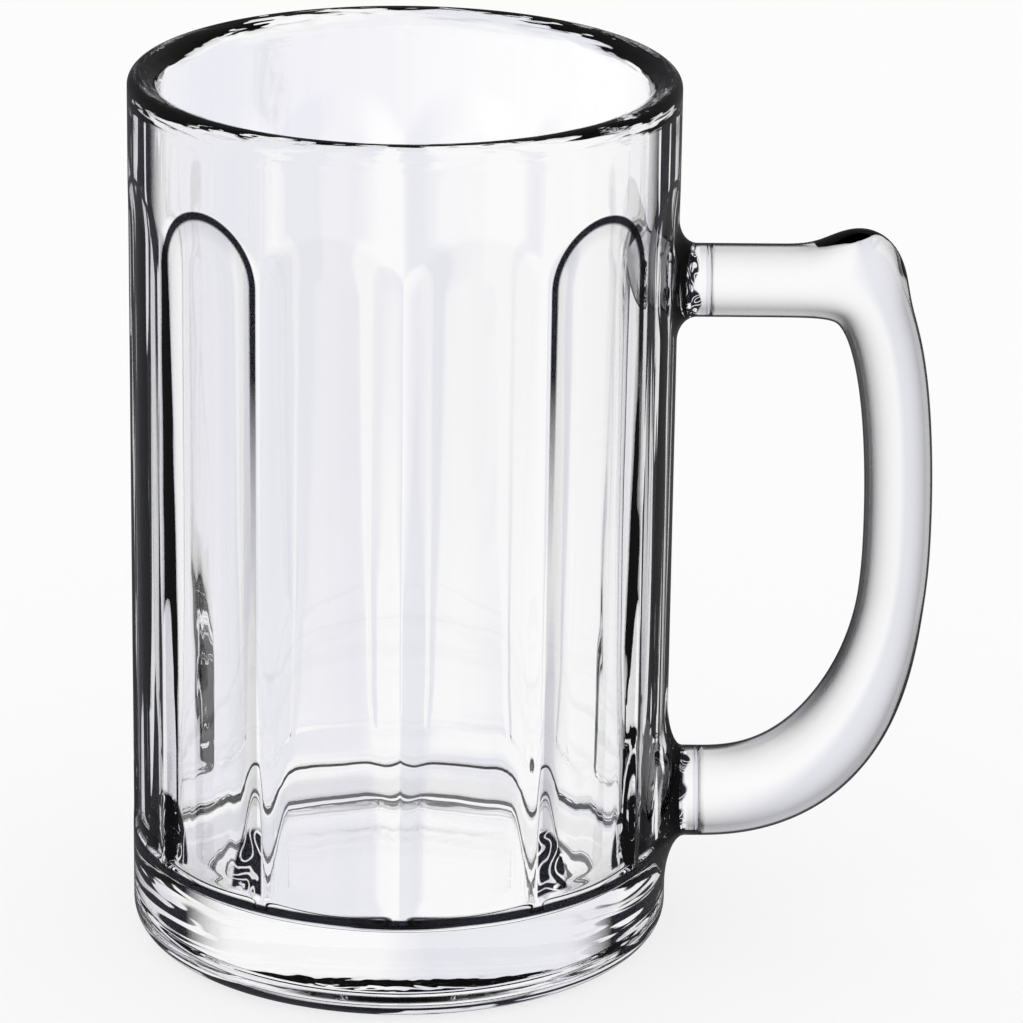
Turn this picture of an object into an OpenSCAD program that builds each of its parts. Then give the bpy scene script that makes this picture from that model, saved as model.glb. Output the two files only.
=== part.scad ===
// Half-litre pressed glass beer mug: a straight tumbler with twelve shallow arch-topped
// panels round its wall, and a glass handle fused to it at two stubs.
// Millimetres. The origin is on the mug's axis, on the surface that it stands on.
// +Z is up and the handle is on the +X side.

/* [Body] */
// Height from the standing surface to the top of the lip
body_h = 141.4; // [120:1:170]
// Outer diameter of the wall, the ridges and the base
body_d = 86; // [76:1:100]
// Rounding of the outer edge of the lip
lip_r = 1.75; // [1:0.05:2.5]
// Rounding of the outer edge of the foot
foot_r = 4.4; // [2:0.1:6]

/* [Inside] */
// Thickness of the wall just below the lip
wall_t = 5.1; // [4:0.1:7]
// Thickness of the wall at its foot
wall_foot_t = 6.6; // [5:0.1:8]
// Height over which the lip rounds down to the inside of the wall
lip_in_h = 3.2; // [1.5:0.1:6]
// Height of the inner floor above the standing surface
floor_z = 13; // [9:0.5:16]
// Radius of the rounded bottom corner inside
cavity_round = 2.8; // [2:0.1:10]

/* [Underside] */
// Width of the flat ring that the mug stands on
ring_w = 6.6; // [3:0.2:10]
// Rounding of the inner edge of that ring
ring_round = 0.9; // [0.4:0.1:1.5]
// Depth of the domed recess inside that ring, at its middle
recess_depth = 2; // [1:0.1:3]

/* [Panels] */
// Number of panels round the wall
panel_count = 12; // [10:1:14]
// Width of the ridge that is left between two panels
ridge_w = 1.6; // [1:0.1:4]
// Depth of a panel below the round wall at the top of its arch
arch_depth = 0.95; // [0.6:0.05:1.8]
// Depth of a panel below the round wall at the ledge
ledge_depth = 0.6; // [0.3:0.1:1.5]
// Height of the top of a panel's arch
panel_top_z = 127.5; // [112:0.5:130]
// Height of the ledge at the bottom of the panels
ledge_z = 17.8; // [15:0.2:24]
// Rounding of a panel's two bottom corners
panel_corner_r = 2; // [1:0.5:6]

/* [Handle] */
// Height of the middle of the upper arm
arm_z = 108.3; // [100:0.5:114]
// Height of the middle of the lower root
root_z = 22.1; // [20:0.5:30]
// Height at which the grip stands furthest out
belly_z = 68; // [60:1:76]
// Distance from the wall to the middle of the grip
grip_out = 35.8; // [32:0.5:44]
// Radius of the upper arm
arm_r = 5.8; // [5:0.1:7]
// Radius of the grip
grip_r = 5.4; // [5:0.1:7]
// Radius of the lower root
root_r = 7.3; // [6:0.1:8]
// How far the thumb rest swells out of the upper corner
thumb_h = 4.3; // [2:0.1:5]
// Half the length of the thumb rest
thumb_len = 4.3; // [3:0.5:7]

/* [Stubs on the wall] */
// Distance from the wall to the faces where the handle is fused on
joint_out = 5; // [4:0.5:7]
// Radius of the flare of the upper stub
arm_flare_r = 4.5; // [3:0.5:6]
// Radius of the flare of the lower stub
root_flare_r = 5.5; // [3:0.5:6]

/* [Hidden] */
$fn = 120;
body_r = body_d / 2;
lip_top_r = body_r - lip_r;
neck_r = body_r - wall_t;
cavity_r = body_r - wall_foot_t;
recess_r = body_r - foot_r - ring_w;
// Overrun of every cut past the face that it leaves
cut_over = 2;
// Steps in a quarter turn of a rounded corner, and across the recess
corner_steps = 8;
recess_steps = 8;

panel_pitch = 360 / panel_count;
panel_slope = (ledge_depth - arch_depth) / (panel_top_z - ledge_z);
panel_half_w = body_r * sin(panel_pitch / 2) - ridge_w / 2;
panel_arch_z = panel_top_z - panel_half_w;

joint_x = body_r + joint_out;
grip_x = body_r + grip_out;
// The stubs start on a round face inside the wall
stub_start_r = body_r - wall_t / 2;

// The handle's middle line is two superellipse quarters that meet at the belly
corner_power = 8.2;
grip_power = 2;
heel_out_power = 2.35;
heel_down_power = 2.4;
// Where along the reach the upper arm gives way to the grip, and the thumb rest lies
knee_share = 0.9;
thumb_share = 0.71;
// Where along the drop to the root the grip starts and stops getting thicker
swell_start_share = 0.25;
swell_end_share = 0.95;
arm_rings = 18;
grip_rings = 14;
heel_rings = 22;
ring_sides = 24;
// How much closer the rings lie towards the upper corner; 1 spaces them evenly
crowding = 1.6;

function arc_points(centre, r, from, to, steps) =
    [for (i = [0 : steps]) let (a = from + (to - from) * i / steps)
        [centre[0] + r * cos(a), centre[1] + r * sin(a)]];

function smooth_step(t) = let (c = max(0, min(1, t))) c * c * (3 - 2 * c);

// Half section of the plain glass from the axis, round the foot and the lip, to the floor
module wall_section() {
    polygon(concat(
        [for (i = [0 : recess_steps - 1]) let (k = i / recess_steps)
            [(recess_r - ring_round) * k, recess_depth - (recess_depth - ring_round) * k * k]],
        arc_points([recess_r, ring_round], ring_round, 180, 270, corner_steps),
        arc_points([body_r - foot_r, foot_r], foot_r, -90, 0, corner_steps),
        arc_points([lip_top_r, body_h - lip_r], lip_r, 0, 90, corner_steps),
        [for (i = [1 : corner_steps]) let (a = 90 * i / corner_steps)
            [lip_top_r - (lip_top_r - neck_r) * sin(a), body_h - lip_in_h * (1 - cos(a))]],
        arc_points([cavity_r - cavity_round, floor_z + cavity_round], cavity_round, 0, -90, corner_steps),
        [[0, floor_z]]
    ));
}

// Outline of one panel: straight sides, a round arch on top and two rounded bottom corners
module panel_outline() {
    inner_w = panel_half_w - panel_corner_r;
    corner_z = ledge_z + panel_corner_r;
    polygon(concat(
        arc_points([0, panel_arch_z], panel_half_w, 0, 180, 3 * corner_steps),
        arc_points([-inner_w, corner_z], panel_corner_r, 180, 270, corner_steps),
        arc_points([inner_w, corner_z], panel_corner_r, 270, 360, corner_steps)
    ));
}

// What one panel takes off the wall, down to a cone that all the panels share
module panel_cut() {
    difference() {
        rotate([90, 0, 90])
            linear_extrude(body_r + cut_over)
                panel_outline();
        translate([0, 0, ledge_z - cut_over])
            cylinder(
                h = panel_top_z - ledge_z + 2 * cut_over,
                r1 = body_r - ledge_depth - panel_slope * cut_over,
                r2 = body_r - arch_depth + panel_slope * cut_over
            );
    }
}

// A round stub that flares into the wall, from mid-wall out to the face for the handle
module stub(z, r, flare_r) {
    flare_x = joint_x - flare_r;
    difference() {
        translate([0, 0, z])
            rotate([0, 90, 0])
                rotate_extrude()
                    polygon(concat(
                        [[0, joint_x], [0, 0], [r + flare_r, 0]],
                        arc_points([r + flare_r, joint_x], flare_r, 270, 180, corner_steps)
                    ));
        cylinder(h = body_h, r = stub_start_r);
    }
}

module tumbler() {
    color([0.92, 0.94, 0.97, 0.5])
        union() {
            difference() {
                rotate_extrude() wall_section();
                for (i = [0 : panel_count - 1])
                    rotate([0, 0, (i + 0.5) * panel_pitch]) panel_cut();
            }
            stub(arm_z, arm_r, arm_flare_r);
            stub(root_z, root_r, root_flare_r);
        }
}

// Height that goes with a reach, on a quarter of a superellipse that is 1 by 1
function superellipse(reach, reach_power, height_power) =
    pow(max(0, 1 - pow(reach, reach_power)), 1 / height_power);

// Middle line as [reach, height] pairs: 0 to 1 from joint to grip, and 1 to 0 to -1
// from the upper arm through the belly to the root
function middle_line() = let (knee_h = superellipse(knee_share, corner_power, grip_power)) concat(
    [for (i = [0 : arm_rings]) let (u = knee_share * (1 - pow(1 - i / arm_rings, crowding)))
        [u, superellipse(u, corner_power, grip_power)]],
    [for (i = [1 : grip_rings]) let (v = knee_h * (1 - pow(i / grip_rings, crowding)))
        [superellipse(v, grip_power, corner_power), v]],
    [for (i = [1 : heel_rings]) let (a = 90 * i / heel_rings)
        [pow(max(0, cos(a)), 2 / heel_out_power), -pow(sin(a), 2 / heel_down_power)]]
);

function line_point(p) = [
    joint_x + (grip_x - joint_x) * p[0],
    belly_z + (p[1] > 0 ? arm_z - belly_z : belly_z - root_z) * p[1]
];

// Radius of the round bar at a point of the middle line
function bar_radius(p) = p[1] > 0
    ? grip_r + (arm_r - grip_r) * pow(p[1], 3)
    : grip_r + (root_r - grip_r)
        * smooth_step((-p[1] - swell_start_share) / (swell_end_share - swell_start_share));

// Extra thickness of the outer side, a smooth swelling round the thumb rest
function thumb_swell(point) =
    let (top = line_point([thumb_share, superellipse(thumb_share, corner_power, grip_power)]))
    thumb_h * exp(-pow(norm(point - top) / thumb_len, 2));

// A bar swept along the middle line, its rings square to the line and its ends flat
module handle() {
    line = middle_line();
    spots = [for (p = line) line_point(p)];
    last = len(spots) - 1;
    points = [for (i = [0 : last]) let (
            ahead = i == 0 || i == last ? [i == 0 ? 1 : -1, 0] : spots[i + 1] - spots[i - 1],
            outward = [-ahead[1], ahead[0]] / norm(ahead),
            r = bar_radius(line[i]),
            swell = i == 0 || i == last ? 0 : thumb_swell(spots[i])
        )
        for (k = [0 : ring_sides - 1]) let (
            a = 360 * k / ring_sides,
            out = (r + (cos(a) > 0 ? swell : 0)) * cos(a)
        ) [spots[i][0] + outward[0] * out, r * sin(a), spots[i][1] + outward[1] * out]];
    sides = [for (i = [0 : last - 1], k = [0 : ring_sides - 1]) let (
            here = i * ring_sides,
            next_k = (k + 1) % ring_sides,
            a = here + k,
            b = here + next_k,
            c = a + ring_sides,
            d = b + ring_sides
        ) each [[a, b, c], [b, d, c]]];
    color([0.92, 0.94, 0.97, 0.5])
        polyhedron(points, concat(
            sides,
            [[for (k = [ring_sides - 1 : -1 : 0]) k]],
            [[for (k = [0 : ring_sides - 1]) last * ring_sides + k]]
        ));
}

tumbler();
handle();
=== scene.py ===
"""A clear pressed glass beer mug, dressed round its packed construction.

Metres, in the frame of the construction: the origin is on the mug's axis, on the surface that it
stands on, +Z is up and the handle is on the +X side.
"""

import math

import bpy
import numpy as np
from mathutils import Matrix, Vector


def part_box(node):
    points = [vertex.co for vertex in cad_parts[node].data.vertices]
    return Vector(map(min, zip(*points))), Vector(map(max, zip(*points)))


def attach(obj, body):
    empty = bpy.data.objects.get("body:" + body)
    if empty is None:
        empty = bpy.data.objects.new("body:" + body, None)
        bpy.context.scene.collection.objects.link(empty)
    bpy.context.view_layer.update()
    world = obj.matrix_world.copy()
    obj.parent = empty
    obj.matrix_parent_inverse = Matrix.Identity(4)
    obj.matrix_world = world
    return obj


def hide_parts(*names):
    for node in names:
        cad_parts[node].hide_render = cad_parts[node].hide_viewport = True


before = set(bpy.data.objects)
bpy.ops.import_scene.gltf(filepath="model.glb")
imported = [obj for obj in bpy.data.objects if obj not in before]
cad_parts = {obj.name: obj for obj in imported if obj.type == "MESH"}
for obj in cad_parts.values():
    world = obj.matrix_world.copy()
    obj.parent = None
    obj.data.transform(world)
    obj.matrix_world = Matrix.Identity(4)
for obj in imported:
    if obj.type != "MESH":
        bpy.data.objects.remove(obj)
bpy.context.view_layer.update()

# The tumbler
# Soda-lime glass, pressed in one go in a steel mould: twelve shallow arch-topped panels round a
# straight wall, a thick base and a rounded lip. The plunger gives the smooth round inside, and a
# flame melts the lip and the edges of the panels soft.

MM = 0.001
tumbler_low, tumbler_high = (np.array(corner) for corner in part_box("tumbler"))
BODY_R = -tumbler_low[0]
BODY_H = tumbler_high[2]
JOINT_X = tumbler_high[0]

# The underside: a rounded foot, a flat ring, and a domed recess with a rounded edge
FOOT_R = 4.4 * MM
RECESS_R = 32 * MM
RECESS_DEPTH = 2.0 * MM
RECESS_EDGE_R = 0.9 * MM

# The panels between the ridges
PANELS = 12
PANEL_PITCH = 2 * math.pi / PANELS
RIDGE_W = 1.6 * MM
PANEL_HALF_W = BODY_R * math.sin(PANEL_PITCH / 2) - RIDGE_W / 2
PANEL_TOP_Z = 127.5 * MM
PANEL_ARCH_Z = PANEL_TOP_Z - PANEL_HALF_W
LEDGE_Z = 17.8 * MM
PANEL_CORNER_R = 2 * MM
PANEL_DEPTH = 0.8 * MM
# How much less deep a panel is at its middle than at its sides
PILLOW = 0.45 * MM

# How far a panel's edge reaches over its outline, and how far inside: low on the side, at the
# arch and at the ledge. From EDGE_RISE_Z up the side's reach grows to the arch's.
CREASE = 1.3 * MM
SIDE_EDGE = 3.0 * MM
TOP_EDGE = 7 * MM
LEDGE_EDGE = 1.5 * MM
EDGE_RISE_Z = 40 * MM
EDGE_RISE_POWER = 0.3

# The lip, the tapered inside and its floor
LIP_R = 1.75 * MM
LIP_IN_H = 2.8 * MM
NECK_Z = BODY_H - LIP_IN_H
INSIDE_HIGH_R = 37.9 * MM
INSIDE_LOW_R = 36.4 * MM
INSIDE_CORNER_R = 2.8 * MM
FLOOR_Z = 13 * MM

# The plunger's ripples as waves round, height in millimetres, start and lean, and the distances
# below the neck and from the axis over which they come up
RIPPLES = ((17, 0.012, 0.4, 3.0), (29, 0.01, 2.1, -5.0), (41, 0.006, 4.0, 8.0))
RIPPLE_RISE_Z = 20 * MM
RIPPLE_RISE_R = 30 * MM

# The two stubs that the handle is fused to: height, bar and flare of each, the share of the way
# out over which they flare, and the wall that is kept free round them
ARM_Z = 108.3 * MM
ROOT_Z = 22.1 * MM
ARM_R = 5.8 * MM
ROOT_R = 7.3 * MM
ARM_FLARE = 4.2 * MM
ROOT_FLARE = 8.0 * MM
FLARE_SHARE = 0.6
STUB_MARGIN = 2 * MM

# Start height and number of each band of rows up the wall, close together at the ledge, the arches
# and the stubs
WALL_ROWS = (
    (FOOT_R, 3),
    (8 * MM, 6),
    (15.4 * MM, 18),
    (19 * MM, 10),
    (23 * MM, 14),
    (38 * MM, 6),
    (92 * MM, 20),
    (114 * MM, 40),
    (130 * MM, 4),
    (BODY_H - LIP_R, 0),
)


def smooth(t):
    """0 below 0, 1 above 1, and 3 t^2 - 2 t^3 between."""
    t = np.clip(t, 0, 1)
    return t * t * (3 - 2 * t)


def spaced(start, end, count):
    """count evenly spaced values from start to end, without the last one."""
    return np.linspace(start, end, count, endpoint=False)


def arc(centre_r, centre_z, radius, start, end, steps):
    """Points (r, z) on an arc, from angle start to end in degrees from +r towards +z, without the
    last one."""
    a = np.radians(spaced(start, end, steps))
    return np.stack([centre_r + radius * np.cos(a), centre_z + radius * np.sin(a)], 1)


def across_panel(theta):
    """Distance s = R sin(angle from the panel's middle) across the panel that theta is on."""
    return BODY_R * np.sin(theta % PANEL_PITCH - PANEL_PITCH / 2)


def inside_panel(s, z):
    """Distance inside a panel's outline, at s across and z up, less than 0 outside it.

    The outline is a round arch on straight sides, with two round corners below.
    """
    arch = PANEL_HALF_W - np.hypot(s, np.maximum(z - PANEL_ARCH_Z, 0))
    across = np.abs(s) - (PANEL_HALF_W - PANEL_CORNER_R)
    below = LEDGE_Z + PANEL_CORNER_R - z
    outside = np.hypot(np.maximum(across, 0), np.maximum(below, 0))
    corner = PANEL_CORNER_R - outside - np.minimum(np.maximum(across, below), 0)
    return np.minimum(arch, corner)


def outer_radius(theta, z):
    """The wall's radius: R less the panel's depth times a smooth step over the panel's edge.

    The depth is PANEL_DEPTH - PILLOW (1/3 - (s / half width)^2), and the step goes from CREASE
    outside the outline to the edge's reach inside it.
    """
    s = across_panel(theta)
    depth = PANEL_DEPTH - PILLOW * (1 / 3 - (s / PANEL_HALF_W) ** 2)
    rise = np.clip((z - EDGE_RISE_Z) / (PANEL_TOP_Z - EDGE_RISE_Z), 0, 1) ** EDGE_RISE_POWER
    fall = smooth((LEDGE_Z + PANEL_CORNER_R - z) / PANEL_CORNER_R)
    reach = SIDE_EDGE + (TOP_EDGE - SIDE_EDGE) * rise + (LEDGE_EDGE - SIDE_EDGE) * fall
    return BODY_R - depth * smooth((inside_panel(s, z) + CREASE) / (reach + CREASE))


def column_angles(per_panel=32, crowding=0.55):
    """Angles round the wall, closer together near the ridges: t - k sin(2 pi t) / 2 pi in each."""
    t = np.arange(per_panel) / per_panel
    t = t - crowding * np.sin(2 * np.pi * t) / (2 * np.pi)
    return ((np.arange(PANELS)[:, None] + t[None, :]) * PANEL_PITCH).ravel()


def wall_heights():
    """Heights of the rows up the outer wall, evenly spaced in each band of WALL_ROWS."""
    bands = zip(WALL_ROWS, WALL_ROWS[1:])
    return np.concatenate([spaced(low, high, count) for (low, count), (high, _) in bands])


def underside_profile():
    """Points (r, z) from near the axis over the recess, its edge and the flat ring to the foot.

    The recess is a dome: its height is depth + (edge - depth) k^2 at the share k of its radius.
    """
    dome_rows = 8
    k = np.linspace(0, 1, dome_rows + 2)[1:-1]
    dome_z = RECESS_DEPTH + (RECESS_EDGE_R - RECESS_DEPTH) * k * k
    dome = np.stack([(RECESS_R - RECESS_EDGE_R) * k, dome_z], 1)
    edge = arc(RECESS_R, RECESS_EDGE_R, RECESS_EDGE_R, 180, 270, steps=8)
    ring_r = spaced(RECESS_R, BODY_R - FOOT_R, count=4)
    ring = np.stack([ring_r, 0 * ring_r], 1)
    foot = arc(BODY_R - FOOT_R, FOOT_R, FOOT_R, -90, 0, steps=12)
    return np.concatenate([dome, edge, ring, foot])


def lip_profile():
    """Points (r, z) over the lip: a round outer quarter, and a quarter ellipse to the inside."""
    top_r = BODY_R - LIP_R
    outer = arc(top_r, BODY_H - LIP_R, LIP_R, 0, 90, steps=14)
    q = np.radians(spaced(0, 90, count=22))
    inner_r = top_r - (top_r - INSIDE_HIGH_R) * np.sin(q)
    inner = np.stack([inner_r, BODY_H - LIP_IN_H * (1 - np.cos(q))], 1)
    return np.concatenate([outer, inner])


def inside_profile():
    """Points (r, z) down the tapered inside and round its corner, and across to near the axis."""
    z = spaced(NECK_Z, FLOOR_Z + INSIDE_CORNER_R, count=12)
    wall_r = INSIDE_LOW_R + (INSIDE_HIGH_R - INSIDE_LOW_R) * (z - z[-1]) / (z[0] - z[-1])
    flat_r = wall_r[-1] - INSIDE_CORNER_R
    corner = arc(flat_r, FLOOR_Z + INSIDE_CORNER_R, INSIDE_CORNER_R, 0, -90, steps=24)
    floor_r = spaced(flat_r, 0, count=9)
    floor = np.stack([floor_r, 0 * floor_r + FLOOR_Z], 1)
    return np.concatenate([np.stack([wall_r, z], 1), corner, floor])


def rings_of(profile, theta):
    """A grid (row, column, xyz) of rings turned from points (r, z)."""
    r, z = profile[:, 0, None], profile[:, 1, None]
    return np.stack([r * np.cos(theta), r * np.sin(theta), z + 0 * theta], -1)


def ripple(rings, theta):
    """The share by which the plunger's ripples widen the rings: a sum of sine waves, fading out
    towards the neck and the axis."""
    z = rings[..., 2]
    waves = sum(size * MM * np.sin(count * theta + start + lean * z)
                for count, size, start, lean in RIPPLES)
    down = smooth((NECK_Z - z) / RIPPLE_RISE_Z)
    out = smooth(np.hypot(rings[..., 0], rings[..., 1]) / RIPPLE_RISE_R)
    return waves * down * out / INSIDE_LOW_R


def weave(rows, cols):
    """Quads of a grid (row, column) that is closed round its columns."""
    a = np.arange(rows - 1)[:, None] * cols + np.arange(cols)[None, :]
    b = np.arange(rows - 1)[:, None] * cols + (np.arange(cols)[None, :] + 1) % cols
    return np.stack([a, b, b + cols, a + cols], -1)


def on_wall(y, z, rounds=12):
    """The wall's x at (y, z) on the +X side: theta = asin(y / r(theta, z)), found by repeating."""
    theta = np.arcsin(y / BODY_R)
    for _ in range(rounds):
        theta = np.arcsin(y / outer_radius(theta, z))
    return outer_radius(theta, z) * np.cos(theta)


def stub_patch(rim, axis_z, bar_r, flare):
    """A stub inside the ring of wall points rim (n, 3), as a grid from it to the end face's edge.

    Each line runs straight towards the stub's axis. From rho = bar_r + flare inwards it leaves the
    wall: rho = bar_r + flare (1 - sin q), and x = wall + FLARE_SHARE (JOINT_X - wall) (1 - cos q),
    with q from 0 to 90 degrees. The rest of the way to JOINT_X is straight.
    """
    plain_rows, flare_rows, straight_rows = 4, 26, 4
    inside_rim = 0.97
    y, z = rim[:, 1], rim[:, 2] - axis_z
    far = np.hypot(y, z)
    cos_a, sin_a = y / far, z / far
    reach = np.minimum(bar_r + flare, far * inside_rim)
    rho = far + (reach - far) * np.linspace(0, 1, plain_rows + 2)[1:-1, None]
    across, up = rho * cos_a, axis_z + rho * sin_a
    plain = np.stack([on_wall(across, up), across, up], -1)
    q = np.radians(np.linspace(0, 90, flare_rows))[:, None]
    rho = bar_r + (reach - bar_r) * (1 - np.sin(q))
    across, up = rho * cos_a, axis_z + rho * sin_a
    wall = on_wall(across, up)
    flared = np.stack([wall + FLARE_SHARE * (JOINT_X - wall) * (1 - np.cos(q)), across, up], -1)
    straight = np.repeat(flared[-1:], straight_rows, 0)
    share = np.linspace(0, 1, straight_rows + 1)[1:, None]
    straight[..., 0] += (JOINT_X - straight[..., 0]) * share
    return np.concatenate([plain, flared, straight])


def make_piece(name, vertices, faces):
    """A smooth shaded mesh object from vertex and face arrays."""
    mesh = bpy.data.meshes.new(name)
    mesh.from_pydata(vertices.tolist(), [], faces)
    mesh.polygons.foreach_set("use_smooth", np.ones(len(mesh.polygons), bool))
    mesh.update()
    piece = bpy.data.objects.new(name, mesh)
    bpy.context.scene.collection.objects.link(piece)
    return piece


def mark(piece, name, values):
    """Values in millimetres kept on the mesh's points, for its material."""
    attribute = piece.data.attributes.new(name, "FLOAT", "POINT")
    attribute.data.foreach_set("value", values / MM)


# The mark of points that are on no panel
NOT_ON_PANEL = -9 * MM


def make_tumbler():
    """The vessel as one closed surface, from its underside's middle over the lip to its floor's.

    The stubs' patches take the place of the wall's quads round their axes. The points keep their
    distance inside the panel's outline and beside the ridge.
    """
    theta, heights = column_angles(), wall_heights()
    below = rings_of(underside_profile(), theta)
    radius = outer_radius(theta[None, :], heights[:, None])
    wall = np.stack([radius * np.cos(theta), radius * np.sin(theta),
                     heights[:, None] + 0 * radius], -1)
    above = rings_of(np.concatenate([lip_profile(), inside_profile()]), theta)
    above[..., :2] *= (1 + ripple(above, theta))[..., None]
    grid = np.concatenate([below, wall, above])
    rows, cols = grid.shape[:2]
    quads = weave(rows, cols)
    keep = np.ones((rows - 1, cols), bool)
    points = grid.reshape(-1, 3)
    vertices, stub_faces, count = [points], [], len(points)
    for axis_z, bar_r, flare in ((ARM_Z, ARM_R, ARM_FLARE), (ROOT_Z, ROOT_R, ROOT_FLARE)):
        half = bar_r + flare + STUB_MARGIN
        low, high = len(below) + np.searchsorted(heights, (axis_z - half, axis_z + half))
        side = int(np.searchsorted(theta, math.asin(half / BODY_R)))
        across = np.arange(-side, side + 1)
        keep[low:high, across[:-1] % cols] = False
        loop = [(low, c) for c in across[:-1]] + [(r, side) for r in range(low, high)]
        loop += [(high, c) for c in across[:0:-1]] + [(r, -side) for r in range(high, low, -1)]
        rim = np.array([r * cols + c % cols for r, c in loop])
        patch = stub_patch(points[rim], axis_z, bar_r, flare)
        vertices.append(patch.reshape(-1, 3))
        new = count + np.arange(patch.shape[0] * len(rim)).reshape(-1, len(rim))
        ids = np.concatenate([rim[None, :], new])
        after = np.roll(ids, -1, 1)
        sides = np.stack([ids[:-1], after[:-1], after[1:], ids[1:]], -1)
        stub_faces += sides.reshape(-1, 4).tolist() + [ids[-1].tolist()]
        count += new.size
    first = np.arange(cols)
    last = (rows - 1) * cols + first
    under = np.stack([first * 0 + count, np.roll(first, -1), first], 1)
    floor = np.stack([first * 0 + count + 1, last, np.roll(last, -1)], 1)
    faces = quads[keep].tolist() + stub_faces + under.tolist() + floor.tolist()
    vertices = np.concatenate(vertices + [[[0, 0, RECESS_DEPTH], [0, 0, FLOOR_Z]]])
    piece = make_piece("pressed_tumbler", vertices, faces)
    within = np.full(len(vertices), NOT_ON_PANEL)
    on_panels = slice(len(below) * cols, (len(below) + len(heights)) * cols)
    within[on_panels] = inside_panel(across_panel(theta[None, :]), heights[:, None]).ravel()
    mark(piece, "inside_panel", within)
    turn = np.arctan2(vertices[:, 1], vertices[:, 0])
    mark(piece, "beside_ridge", PANEL_HALF_W - np.abs(across_panel(turn)))
    return piece


def linear(hex_colour):
    """An sRGB hex colour as linear RGBA."""
    channels = np.array([int(hex_colour[i:i + 2], 16) for i in (1, 3, 5)]) / 255
    low, high = channels / 12.92, ((channels + 0.055) / 1.055) ** 2.4
    return (*np.where(channels <= 0.04045, low, high), 1)


def add(tree, kind, *values, inputs=None, **settings):
    """A node of that kind in the tree, such as "Math ADD", with its settings.

    The values go to its inputs in order and the others by name. A node or a socket is linked, and
    anything else is set.
    """
    kind, *operation = kind.split()
    node = tree.nodes.new("ShaderNode" + kind)
    for name, value in settings.items():
        setattr(node, name, value)
    if operation:
        node.operation = operation[0]
    for name, value in (dict(enumerate(values)) | (inputs or {})).items():
        if isinstance(value, bpy.types.Node):
            value = value.outputs[0]
        if isinstance(value, bpy.types.NodeSocket):
            tree.links.new(value, node.inputs[name])
        else:
            node.inputs[name].default_value = value
    return node


# Settings of a Map Range that goes smoothly from its start to its end
SMOOTHLY = {"interpolation_type": "SMOOTHSTEP"}


FLOW_TWIST = 1.2


def flow(tree, place, across, up, detail=0.0):
    """Noise with so many cells a metre across and up, twisted as by the flow of the hot glass."""
    scaled = add(tree, "VectorMath MULTIPLY", place, (across, across, up))
    return add(tree, "TexNoise", inputs={
        "Vector": scaled, "Scale": 1.0, "Detail": detail, "Distortion": FLOW_TWIST})


SWIRL_LEVELS = 5.0
SWIRL_START = 0.06
SWIRL_END = 0.15


def swirls(tree, noise):
    """0 on thin contour lines of the noise, SWIRL_LEVELS of them in all, and 1 elsewhere."""
    level = add(tree, "Math FRACT", add(tree, "Math MULTIPLY", noise, SWIRL_LEVELS))
    off = add(tree, "Math ABSOLUTE", add(tree, "Math SUBTRACT", level, 0.5))
    return add(tree, "MapRange", off, SWIRL_START, SWIRL_END, **SMOOTHLY)


# The painted shade of the sides, by how far they turn away: on the wall, on the foot, and a painted
# dark line at the very edge. Streaks leave STREAK_CLEAR of it, 3 mm wide and 70 mm long up the
# wall, and 2 mm high and 22 mm long round the foot.
EDGE_START, EDGE_END = 0.48, 0.62
FOOT_EDGE_START, FOOT_EDGE_END = 0.28, 0.46
LINE_START, LINE_END = 0.84, 0.95
STREAK_CLEAR = 0.04
WALL_CELLS = (330, 14)
WALL_STREAK = (0.53, 0.49)
FOOT_CELLS = (45, 420)
FOOT_STREAK = (0.54, 0.48)
LIP_CLEAR_Z = BODY_H - 2.4 * MM
CHANGE_H = 1 * MM


def painted_side_shade(tree, facing, place, high):
    """The streaked painted shade of the grazing sides below the lip, and a plain painted line at
    the very edge.
    """
    noise = flow(tree, place, *WALL_CELLS, detail=1.0)
    streaks = add(tree, "MapRange", noise, *WALL_STREAK, STREAK_CLEAR, 1.0, **SMOOTHLY)
    turned = add(tree, "MapRange", facing, EDGE_START, EDGE_END, **SMOOTHLY)
    wall = add(tree, "Math MULTIPLY", turned, streaks)
    noise = flow(tree, place, *FOOT_CELLS, detail=1.0)
    streaks = add(tree, "MapRange", noise, *FOOT_STREAK, STREAK_CLEAR, 1.0, **SMOOTHLY)
    turned = add(tree, "MapRange", facing, FOOT_EDGE_START, FOOT_EDGE_END, **SMOOTHLY)
    foot = add(tree, "Math MULTIPLY", turned, streaks)
    on_foot = add(tree, "MapRange", high, LEDGE_Z, LEDGE_Z - CHANGE_H, **SMOOTHLY)
    painted_dark = add(tree, "Mix", inputs={0: on_foot, 2: wall, 3: foot})
    line = add(tree, "MapRange", facing, LINE_START, LINE_END, **SMOOTHLY)
    below_lip = add(tree, "MapRange", high, LIP_CLEAR_Z, LIP_CLEAR_Z - CHANGE_H, **SMOOTHLY)
    return add(tree, "Math MULTIPLY", add(tree, "Math MAXIMUM", painted_dark, line), below_lip)


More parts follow.
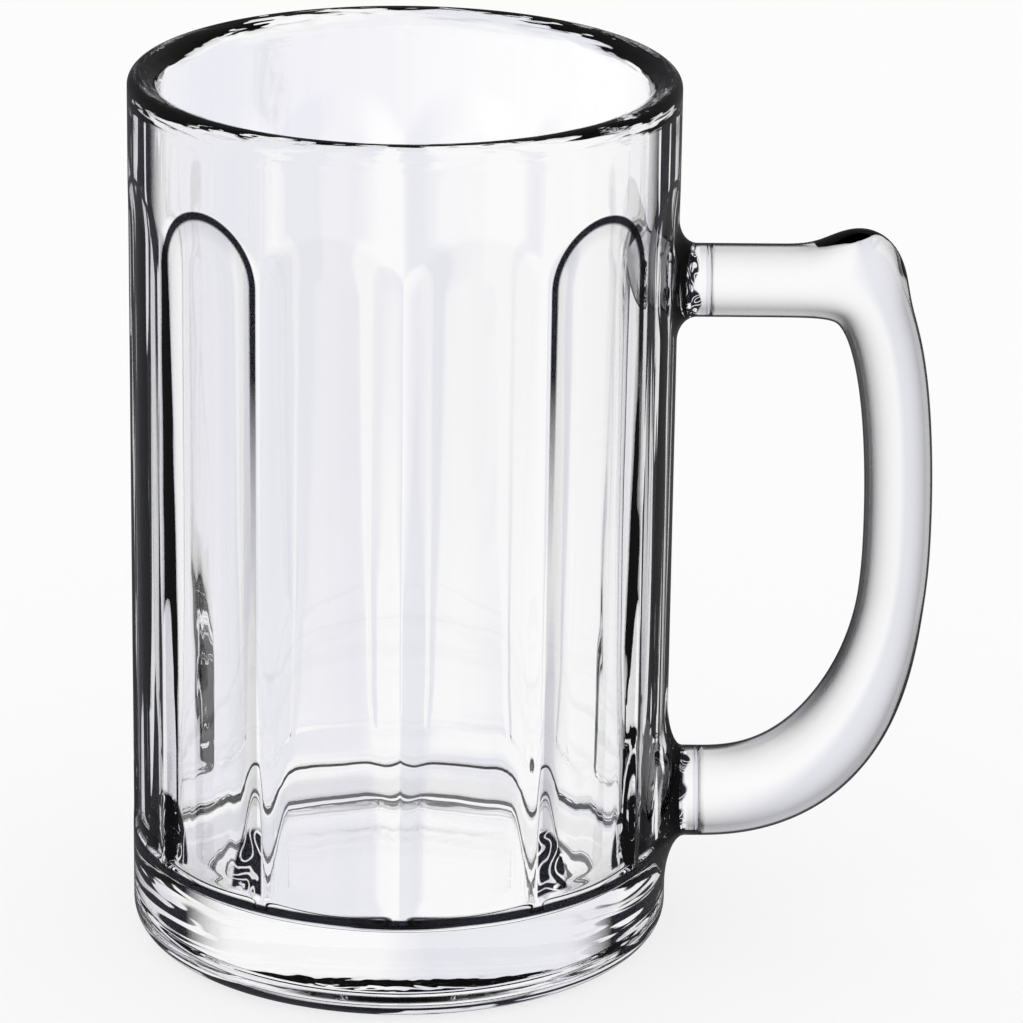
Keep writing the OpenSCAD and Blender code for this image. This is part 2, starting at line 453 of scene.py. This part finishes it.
# The panels' outlines in painted shade, where the wall turns away by STROKE_START: a bold painted
# line whose width grows up the wall and which ends over BOLD_SOFT of it, over a soft band SOFT_W
# wide. They begin over OUTLINE_IN inside the panel, and the panel's faint painted shade over
# PANEL_SHADE_IN, all in millimetres. Low on the wall the line and the panel's shade keep FADE_LOW.
STROKE_START, STROKE_END = 0.20, 0.25
BOLD_FROM_Z = 25 * MM
BOLD_W_LOW, BOLD_W_HIGH = 0.8, 2.0
BOLD_SOFT = (1.0, 0.6)
SOFT_W = 6.0
OUTLINE_IN = (-0.1, 0.15)
PANEL_SHADE_IN = (-0.3, 1.2)
SOFT_DARK = 0.45
FADE_LOW_Z, FADE_HIGH_Z = 62 * MM, 104 * MM
FADE_LOW = 0.35
# How dark the panel's faint painted shade gets
PANEL_PAINTED_SHADE = 0.075


def painted_outline_shade(tree, facing, high, within):
    """The painted shade of a panel's outline, just inside it: the bold line or the soft band."""
    width = add(tree, "MapRange", high, BOLD_FROM_Z, PANEL_TOP_Z, BOLD_W_LOW, BOLD_W_HIGH)
    bold = add(tree, "MapRange", add(tree, "Math DIVIDE", within, width), *BOLD_SOFT, **SMOOTHLY)
    fade = add(tree, "MapRange", high, FADE_LOW_Z, FADE_HIGH_Z, FADE_LOW, 1.0, **SMOOTHLY)
    bold = add(tree, "Math MULTIPLY", bold, fade)
    soft = add(tree, "MapRange", within, SOFT_W, 0.0, 0.0, SOFT_DARK, **SMOOTHLY)
    start = add(tree, "MapRange", within, *OUTLINE_IN, **SMOOTHLY)
    painted_dark = add(tree, "Math MULTIPLY", start, add(tree, "Math MAXIMUM", bold, soft))
    turned = add(tree, "MapRange", facing, STROKE_START, STROKE_END, **SMOOTHLY)
    return add(tree, "Math MULTIPLY", painted_dark, turned)


def painted_panel_shade(tree, high, within):
    """The faint painted grey shade of a whole panel, less of it low on the wall."""
    panel = add(tree, "MapRange", within, *PANEL_SHADE_IN, 0.0, PANEL_PAINTED_SHADE, **SMOOTHLY)
    fade = add(tree, "MapRange", high, FADE_LOW_Z, FADE_HIGH_Z, FADE_LOW, 1.0, **SMOOTHLY)
    return add(tree, "Math MULTIPLY", panel, fade)


# The swirling painted shade in a panel's bottom corners, where the wall turns away by
# CORNER_START: from CORNER_FROM to CORNER_W in millimetres across from the ridge's edge, up to
# CORNER_TOP_Z, in swirls of 5 by 8 mm
CORNER_START, CORNER_END = 0.185, 0.20
CORNER_W = 5.6
CORNER_FROM = (-0.9, -0.7)
CORNER_SOFT = (1.0, 0.8)
CORNER_TOP_Z = 31 * MM
CORNER_LOW_Z, CORNER_FULL_Z = LEDGE_Z + 0.8 * MM, LEDGE_Z + 1.4 * MM
CORNER_CELLS = (200, 120)


def painted_corner_shade(tree, facing, place, high):
    """The painted shade inside (across / CORNER_W)^2 + (up / height)^2 = 1 from the ledge's two
    ends.
    """
    beside = add(tree, "Attribute", attribute_name="beside_ridge").outputs["Fac"]
    height = CORNER_TOP_Z - LEDGE_Z
    across = add(tree, "Math POWER", add(tree, "Math MULTIPLY", beside, 1 / CORNER_W), 2.0)
    up = add(tree, "Math MULTIPLY_ADD", high, 1 / height, -LEDGE_Z / height)
    reach = add(tree, "Math ADD", across, add(tree, "Math POWER", up, 2.0))
    painted_dark = add(tree, "MapRange", reach, *CORNER_SOFT, **SMOOTHLY)
    for limit in (
        add(tree, "MapRange", beside, *CORNER_FROM, **SMOOTHLY),
        add(tree, "MapRange", high, CORNER_LOW_Z, CORNER_FULL_Z, **SMOOTHLY),
        swirls(tree, flow(tree, place, *CORNER_CELLS)),
        add(tree, "MapRange", facing, CORNER_START, CORNER_END, **SMOOTHLY),
    ):
        painted_dark = add(tree, "Math MULTIPLY", painted_dark, limit)
    return painted_dark


# The swirling painted shade at a stub's root: how far out from the wall it goes in millimetres, how
# much that wanders, over 5 mm, and swirls of 3 mm
ROOT_DARK = 3.0
ROOT_FROM = (0.0, 0.4)
ROOT_SOFT = 0.5
ROOT_WANDER = 3.0
ROOT_WANDER_CELLS = 200
ROOT_CELLS = 330


def painted_root_shade(tree, place):
    """The painted shade of a stub's foot, from the wall's radius to an uneven end outside it."""
    x = add(tree, "SeparateXYZ", place).outputs["X"]
    out = add(tree, "Math MULTIPLY_ADD", x, 1 / MM, -BODY_R / MM)
    noise = flow(tree, place, ROOT_WANDER_CELLS, ROOT_WANDER_CELLS)
    uneven = add(tree, "Math MULTIPLY_ADD", noise, ROOT_WANDER, -ROOT_WANDER / 2)
    end = add(tree, "Math ADD", out, uneven)
    painted_dark = add(tree, "MapRange", out, *ROOT_FROM, **SMOOTHLY)
    for limit in (
        add(tree, "MapRange", end, ROOT_DARK, ROOT_DARK - ROOT_SOFT, **SMOOTHLY),
        swirls(tree, flow(tree, place, ROOT_CELLS, ROOT_CELLS)),
    ):
        painted_dark = add(tree, "Math MULTIPLY", painted_dark, limit)
    return painted_dark


# The painted shade of round bars, the stubs' and the handle's: it grows with a power of how far
# they turn away, up to BAR_SHADE, and ends in a painted dark line at the very edge. It falls to
# BAR_OUTSIDE on the side away from the tumbler and to BAR_LEVEL on top and below, by the outward
# and the level part of the bar's normal.
BAR_GAIN = 3.2
BAR_POWER = 1.35
BAR_SHADE = 0.92
BAR_OUTSIDE, OUTWARD_PART = 0.5, (0.2, -0.3)
BAR_LEVEL, LEVEL_PART = 0.5, (0.4, 0.9)
BAR_LINE_START, BAR_LINE_END = 0.52, 0.72


def painted_bar_shade(tree, facing, place):
    """The painted shade of a bar: 1 - (1 - shade)^2 of a shade that is strongest where the bar
    turns away and faces inwards.
    """
    normal = add(tree, "NewGeometry").outputs["Normal"]
    outward, _, upward = add(tree, "SeparateXYZ", normal).outputs
    power = add(tree, "Math POWER", facing, BAR_POWER)
    shade = add(tree, "Math MINIMUM", add(tree, "Math MULTIPLY", power, BAR_GAIN), BAR_SHADE)
    level = add(tree, "Math ABSOLUTE", upward)
    for limit in (
        add(tree, "MapRange", outward, *OUTWARD_PART, BAR_OUTSIDE, 1.0, **SMOOTHLY),
        add(tree, "MapRange", level, *LEVEL_PART, 1.0, BAR_LEVEL, **SMOOTHLY),
    ):
        shade = add(tree, "Math MULTIPLY", shade, limit)
    clear = add(tree, "Math POWER", add(tree, "Math SUBTRACT", 1.0, shade), 2.0)
    line = add(tree, "MapRange", facing, BAR_LINE_START, BAR_LINE_END, **SMOOTHLY)
    return add(tree, "Math MAXIMUM", add(tree, "Math SUBTRACT", 1.0, clear), line)


# Where a stub's painted shade starts to be as dark as the bar's, and the two rings of painted
# shade round the foot as height and half width, with the shares of that half over which they end
STUB_START_X, STUB_FULL_X = BODY_R + 2.5 * MM, BODY_R + 3.5 * MM
PAINTED_SHADE_RINGS = ((16.8 * MM, 0.75 * MM), (2.2 * MM, 0.3 * MM))
RING_OUT, RING_IN = 1.2, 0.8


def painted_mould_side_shade(tree, facing, place):
    """The painted shade of the mould's side: the most of that of its sides, outlines, corners,
    roots and rings.
    """
    x, _, high = add(tree, "SeparateXYZ", place).outputs
    within = add(tree, "Attribute", attribute_name="inside_panel").outputs["Fac"]
    root = painted_root_shade(tree, place)
    painted_dark = painted_side_shade(tree, facing, place, high)
    for part in (painted_outline_shade(tree, facing, high, within), painted_corner_shade(tree, facing, place, high), root):
        painted_dark = add(tree, "Math MAXIMUM", painted_dark, part)
    on_stub = add(tree, "MapRange", x, STUB_START_X, STUB_FULL_X, **SMOOTHLY)
    stub = add(tree, "Math MAXIMUM", root, painted_bar_shade(tree, facing, place))
    painted_dark = add(tree, "Mix", inputs={0: on_stub, 2: painted_dark, 3: stub})
    painted_dark = add(tree, "Math MAXIMUM", painted_dark, painted_panel_shade(tree, high, within))
    for ring_z, half in PAINTED_SHADE_RINGS:
        off = add(tree, "Math ABSOLUTE", add(tree, "Math SUBTRACT", high, ring_z))
        ring = add(tree, "MapRange", off, half * RING_OUT, half * RING_IN, **SMOOTHLY)
        painted_dark = add(tree, "Math MAXIMUM", painted_dark, ring)
    return painted_dark


# The relief of the glass's skin: cooling ripples of 5 by 33 mm, RIPPLE_H high, and the flame's
# streaks on the lip, LIP_STREAK times that, 1 mm across and a fifth of a radian long
RIPPLE_H = 0.015 * MM
RIPPLE_CELLS = (220, 30)
LIP_STREAK = 14.0
LIP_TURN_CELLS = 5.0
LIP_CELLS = 900.0
LIP_LOW_Z, LIP_FULL_Z = BODY_H - 5 * MM, BODY_H - 3 * MM


def lip_streaks(tree, place):
    """Fine streaks round the lip, as noise that is long along the rim and short across it."""
    x, y, z = add(tree, "SeparateXYZ", place).outputs
    turn = add(tree, "Math MULTIPLY", add(tree, "Math ARCTAN2", y, x), LIP_TURN_CELLS)
    x_squared, y_squared = add(tree, "Math MULTIPLY", x, x), add(tree, "Math MULTIPLY", y, y)
    reach = add(tree, "Math SQRT", add(tree, "Math ADD", x_squared, y_squared))
    out = add(tree, "Math MULTIPLY", reach, LIP_CELLS)
    spot = add(tree, "CombineXYZ", turn, out, add(tree, "Math MULTIPLY", z, LIP_CELLS))
    streaks = add(tree, "TexNoise", inputs={"Vector": spot, "Scale": 1.0, "Detail": 1.0})
    on_lip = add(tree, "MapRange", z, LIP_LOW_Z, LIP_FULL_Z, 0.0, LIP_STREAK, **SMOOTHLY)
    return add(tree, "Math MULTIPLY", streaks, on_lip)


# The refractive index of soda-lime glass
GLASS_IOR = 1.52


def pressed_glass(name, paint_shade, shade_colour):
    """Soda-lime glass, clear and smooth with the ripples of cooling in its skin.

    paint_shade gives how much of shade_colour is painted on its outside as shade, where black cards
    in the studio would show in the edges of the real glass. Light that leaves the glass isn't
    darkened again.
    """
    material = bpy.data.materials.new(name)
    material.use_nodes = True
    tree = material.node_tree
    tree.nodes.clear()
    place = add(tree, "TexCoord").outputs["Object"]
    colour = linear("#FFFFFF")
    if paint_shade:
        facing = add(tree, "LayerWeight", inputs={"Blend": 0.5}).outputs["Facing"]
        leaving = add(tree, "NewGeometry").outputs["Backfacing"]
        painted_dark = add(tree, "Math SUBTRACT", paint_shade(tree, facing, place), leaving, use_clamp=True)
        colours = {0: painted_dark, 6: linear("#FFFFFF"), 7: linear(shade_colour)}
        colour = add(tree, "Mix", inputs=colours, data_type="RGBA").outputs[2]
    height = add(tree, "Math ADD", flow(tree, place, *RIPPLE_CELLS), lip_streaks(tree, place))
    relief = add(tree, "Bump", inputs={"Height": height, "Strength": 1.0, "Distance": RIPPLE_H})
    shader = add(tree, "BsdfPrincipled", inputs={
        "Base Color": colour, "Roughness": 0.0, "IOR": GLASS_IOR, "Transmission Weight": 1.0,
        "Normal": relief})
    add(tree, "OutputMaterial", shader)
    return material


def fused_seam():
    """The faces where the handle is fused on: nothing bends light there, so they don't show."""
    material = bpy.data.materials.new("fused_glass_seam")
    material.use_nodes = True
    tree = material.node_tree
    tree.nodes.clear()
    add(tree, "OutputMaterial", add(tree, "BsdfTransparent"))
    return material


# The colour of the painted shade on the tumbler's sides, outlines, corners, roots and rings
PAINTED_EDGE_SHADE_COLOUR = "#010102"
mould_side = pressed_glass("soda_lime_glass_mould_side_painted_shade", painted_mould_side_shade, PAINTED_EDGE_SHADE_COLOUR)
plunger_side = pressed_glass("soda_lime_glass_plunger_side", None, None)
seam = fused_seam()
tumbler = make_tumbler()

# What is inside this radius and above this height was pressed by the plunger
PLUNGER_R = BODY_R - 2 * LIP_R + 0.1 * MM
PLUNGER_Z = FLOOR_Z - 1 * MM


def dress(piece, glass):
    """The glass all over, the seam on the flat end faces, and the plunger's side in the mouth."""
    for material in (glass, seam, plunger_side):
        piece.data.materials.append(material)
    faces = piece.data.polygons
    middles, corners = np.empty(3 * len(faces), np.float32), np.empty(len(faces), np.int32)
    faces.foreach_get("center", middles)
    faces.foreach_get("loop_total", corners)
    x, y, z = middles.reshape(-1, 3).T
    flat = corners > 4
    plunged = (np.hypot(x, y) < PLUNGER_R) & (z > PLUNGER_Z)
    faces.foreach_set("material_index", np.select([flat, plunged], [1, 2], 0).astype(np.int32))
    faces.foreach_set("use_smooth", ~flat)


dress(tumbler, mould_side)
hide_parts("tumbler")
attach(tumbler, "root")

# The handle
# A bar of the same glass, pressed apart and fused hot to the two stubs. Its upper corner swells
# into a thumb rest, and the bar gets thicker towards its lower root.

BELLY_Z = 68 * MM
GRIP_X = BODY_R + 35.8 * MM
GRIP_R = 5.4 * MM
THUMB_H = 4.3 * MM
THUMB_LEN = 4.3 * MM

# The powers of the middle line's two curves, and the shares of the way out where the upper arm
# gives way to the grip and where the thumb rest lies
CORNER_POWER = 8.2
GRIP_POWER = 2
HEEL_OUT_POWER = 2.35
HEEL_DOWN_POWER = 2.4
KNEE_SHARE = 0.9
THUMB_SHARE = 0.71
# The shares of the way down between which the bar gets thicker
SWELL_START_SHARE = 0.25
SWELL_END_SHARE = 0.95
# Rings along the arm, the grip and the heel, how they crowd to the upper corner, and their sides
ARM_RINGS, GRIP_RINGS, HEEL_RINGS = 70, 50, 80
CROWDING = 1.6
RING_SIDES = 72
# The colour of the handle's painted shade
PAINTED_BAR_SHADE_COLOUR = "#050506"


def superellipse(reach, reach_power, height_power):
    """Height on the curve reach^p + height^q = 1."""
    return np.maximum(1 - reach ** reach_power, 0) ** (1 / height_power)


def handle_line():
    """The bar's middle line as shares (reach, height): two superellipse quarters that meet at the
    belly, reach = cos(a)^(2/p) and height = -sin(a)^(2/q) on the lower one."""
    knee = superellipse(KNEE_SHARE, CORNER_POWER, GRIP_POWER)
    u = KNEE_SHARE * (1 - (1 - np.linspace(0, 1, ARM_RINGS)) ** CROWDING)
    v = knee * (1 - np.linspace(0, 1, GRIP_RINGS)[1:] ** CROWDING)
    a = np.radians(np.linspace(0, 90, HEEL_RINGS)[1:])
    heel_reach, heel_height = np.cos(a) ** (2 / HEEL_OUT_POWER), -np.sin(a) ** (2 / HEEL_DOWN_POWER)
    heel_reach[-1] = 0
    reach = np.concatenate([u, superellipse(v, GRIP_POWER, CORNER_POWER), heel_reach])
    height = np.concatenate([superellipse(u, CORNER_POWER, GRIP_POWER), v, heel_height])
    return reach, height


def make_handle():
    """Round rings square to the middle line, with flat ends.

    The outer half of a ring near the thumb rest swells by h exp(-(distance / length)^2).
    """
    reach, height = handle_line()
    x = JOINT_X + (GRIP_X - JOINT_X) * reach
    z = BELLY_Z + np.where(height > 0, ARM_Z - BELLY_Z, BELLY_Z - ROOT_Z) * height
    ahead_x, ahead_z = np.gradient(x), np.gradient(z)
    ahead_x[[0, -1]], ahead_z[[0, -1]] = (1, -1), 0
    length = np.hypot(ahead_x, ahead_z)
    out_x, out_z = -ahead_z / length, ahead_x / length
    heel = smooth((-height - SWELL_START_SHARE) / (SWELL_END_SHARE - SWELL_START_SHARE))
    upper = GRIP_R + (ARM_R - GRIP_R) * np.abs(height) ** 3
    bar = np.where(height > 0, upper, GRIP_R + (ROOT_R - GRIP_R) * heel)
    top_x = JOINT_X + (GRIP_X - JOINT_X) * THUMB_SHARE
    top_z = BELLY_Z + (ARM_Z - BELLY_Z) * superellipse(THUMB_SHARE, CORNER_POWER, GRIP_POWER)
    swell = THUMB_H * np.exp(-((x - top_x) ** 2 + (z - top_z) ** 2) / THUMB_LEN ** 2)
    a = spaced(0, 2 * np.pi, RING_SIDES)
    out = (bar[:, None] + swell[:, None] * (np.cos(a) > 0)) * np.cos(a)
    grid = np.stack([x[:, None] + out_x[:, None] * out, bar[:, None] * np.sin(a),
                     z[:, None] + out_z[:, None] * out], -1)
    rows, cols = grid.shape[:2]
    faces = weave(rows, cols)[..., ::-1].reshape(-1, 4).tolist()
    faces.append(list(range(cols)))
    faces.append(list(range(rows * cols - 1, (rows - 1) * cols - 1, -1)))
    return make_piece("fused_handle", grid.reshape(-1, 3), faces)


handle = make_handle()
# The bar's glass, with painted shade on the sides that turn away
bar_glass = pressed_glass("soda_lime_glass_fire_polished_bar_painted_shade", painted_bar_shade, PAINTED_BAR_SHADE_COLOUR)
dress(handle, bar_glass)
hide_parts("handle")
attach(handle, "root")

# The studio
# A plain white floor, and soft white light from all round. Glass also sees a faint grey band at
# each quarter turn and a black cap overhead and below, which give its edges some of their dark
# lines; the rest of their dark is painted shade on the glass.

# Tones as degrees and colour, across each quarter turn and up from straight down
TONE_STOPS = [(-45, "#FFFFFF"), (-40, "#F2F2F8"), (-4, "#ECECF4"), (3, "#FFFFFF")]
HEIGHT_STOPS = [
    (-90, "#000000"), (-79, "#000000"), (-71, "#FFFFFF"), (52, "#FFFFFF"), (64, "#000000")]
# How much of the light is kept out of mirror images, which would wash out the clear front
MIRROR_LOSS = 0.88


def tones(tree, place, stops, low, high):
    """The colours of stops (degrees, colour) from low to high degrees, at place from 0 to 1."""
    ramp = add(tree, "ValToRGB", place)
    elements = ramp.color_ramp.elements
    elements.remove(elements[0])
    for i, (degrees, colour) in enumerate(stops):
        position = (degrees - low) / (high - low)
        stop = elements[0] if i == 0 else elements.new(position)
        stop.position = position
        stop.color = linear(colour)
    return ramp


def studio_light():
    """World light: plain white to matt things and the camera, and the tones to glass, weaker in
    mirror images than through the glass."""
    world = bpy.data.worlds.new("studio")
    bpy.context.scene.world = world
    world.use_nodes = True
    tree = world.node_tree
    tree.nodes.clear()
    direction = add(tree, "TexCoord").outputs["Generated"]
    x, y, z = add(tree, "SeparateXYZ", direction).outputs
    turn = add(tree, "Math ARCTAN2", x, y)
    quarter = add(tree, "Math FRACT", add(tree, "Math MULTIPLY_ADD", turn, 2 / math.pi, 0.5))
    rise = add(tree, "Math ARCSINE", z)
    height = add(tree, "Math MULTIPLY_ADD", rise, 1 / math.pi, 0.5)
    across = tones(tree, quarter, TONE_STOPS, -45, 45)
    up = tones(tree, height, HEIGHT_STOPS, -90, 90)
    seen = add(tree, "Mix", inputs={0: 1.0, 6: across, 7: up}, data_type="RGBA",
               blend_type="MULTIPLY").outputs[2]
    path = add(tree, "LightPath").outputs
    mirrored = add(tree, "Math SUBTRACT", path["Is Glossy Ray"], path["Is Transmission Ray"])
    strength = add(tree, "Math MULTIPLY_ADD", mirrored, -MIRROR_LOSS, 1.0)
    glassy = add(tree, "Math MAXIMUM", path["Is Glossy Ray"], path["Is Transmission Ray"])
    colours = {0: glassy, 6: linear("#FFFFFF"), 7: seen}
    shade = add(tree, "Mix", inputs=colours, data_type="RGBA").outputs[2]
    add(tree, "OutputWorld", add(tree, "Background", shade, strength))


FLOOR_R = 6.0
FLOOR_SIDES = 96
# The share of the floor that glows white to the camera; the rest takes the mug's shadow
FLOOR_GLOW = 0.75
PAPER_WHITE = "#F4F4F4"


def make_floor():
    """A wide flat disc, white to the camera with the mug's soft shadow kept."""
    a = spaced(0, 2 * np.pi, FLOOR_SIDES)
    ring = np.stack([np.cos(a), np.sin(a), 0 * a], 1) * FLOOR_R
    floor = make_piece("floor", ring, [list(range(FLOOR_SIDES))])
    material = bpy.data.materials.new("white_paper_sweep")
    material.use_nodes = True
    tree = material.node_tree
    tree.nodes.clear()
    matt = add(tree, "BsdfDiffuse", linear(PAPER_WHITE))
    glow = add(tree, "Emission", linear("#FFFFFF"), 1.0)
    camera_ray = add(tree, "LightPath").outputs["Is Camera Ray"]
    share = add(tree, "Math MULTIPLY", camera_ray, FLOOR_GLOW)
    add(tree, "OutputMaterial", add(tree, "MixShader", share, matt, glow))
    floor.data.materials.append(material)
    floor.visible_transmission = False
    floor.visible_glossy = False


# Enough for light to cross every layer of the glass
GLASS_BOUNCES = 24

studio_light()
make_floor()
scene = bpy.context.scene
scene.view_settings.view_transform = "Standard"
scene.cycles.max_bounces = GLASS_BOUNCES
scene.cycles.transmission_bounces = GLASS_BOUNCES

# The camera
# A long lens from a little above, at the photograph's angle: the camera is 0.85 m in front of the
# mug's axis and 0.37 m up, and looks at a point just beside the axis, half way up the mug.

CAMERA_AT = Vector((0, -850.7, 369.9)) * MM
CAMERA_LOOKS_AT = Vector((17.37, 0, 69.58)) * MM
CAMERA_ROLL = 0.01406
# Focal length and sensor in Blender's millimetres, and the nearest and farthest that it sees
CAMERA_LENS = 199.94
CAMERA_SENSOR = 36
CAMERA_NEAR, CAMERA_FAR = 0.01, 20


def make_camera():
    """The camera with its three axes built from the two points and the roll."""
    ahead = (CAMERA_LOOKS_AT - CAMERA_AT).normalized()
    level = ahead.cross(Vector((0, 0, 1))).normalized()
    up = level.cross(ahead)
    right = level * math.cos(CAMERA_ROLL) + up * math.sin(CAMERA_ROLL)
    up = up * math.cos(CAMERA_ROLL) - level * math.sin(CAMERA_ROLL)
    camera = bpy.data.objects.new("camera", bpy.data.cameras.new("camera"))
    bpy.context.scene.collection.objects.link(camera)
    axes = Matrix((right, up, -ahead)).transposed().to_4x4()
    camera.matrix_world = Matrix.Translation(CAMERA_AT) @ axes
    camera.data.sensor_width = CAMERA_SENSOR
    camera.data.lens = CAMERA_LENS
    camera.data.clip_start, camera.data.clip_end = CAMERA_NEAR, CAMERA_FAR
    bpy.context.scene.camera = camera


make_camera()
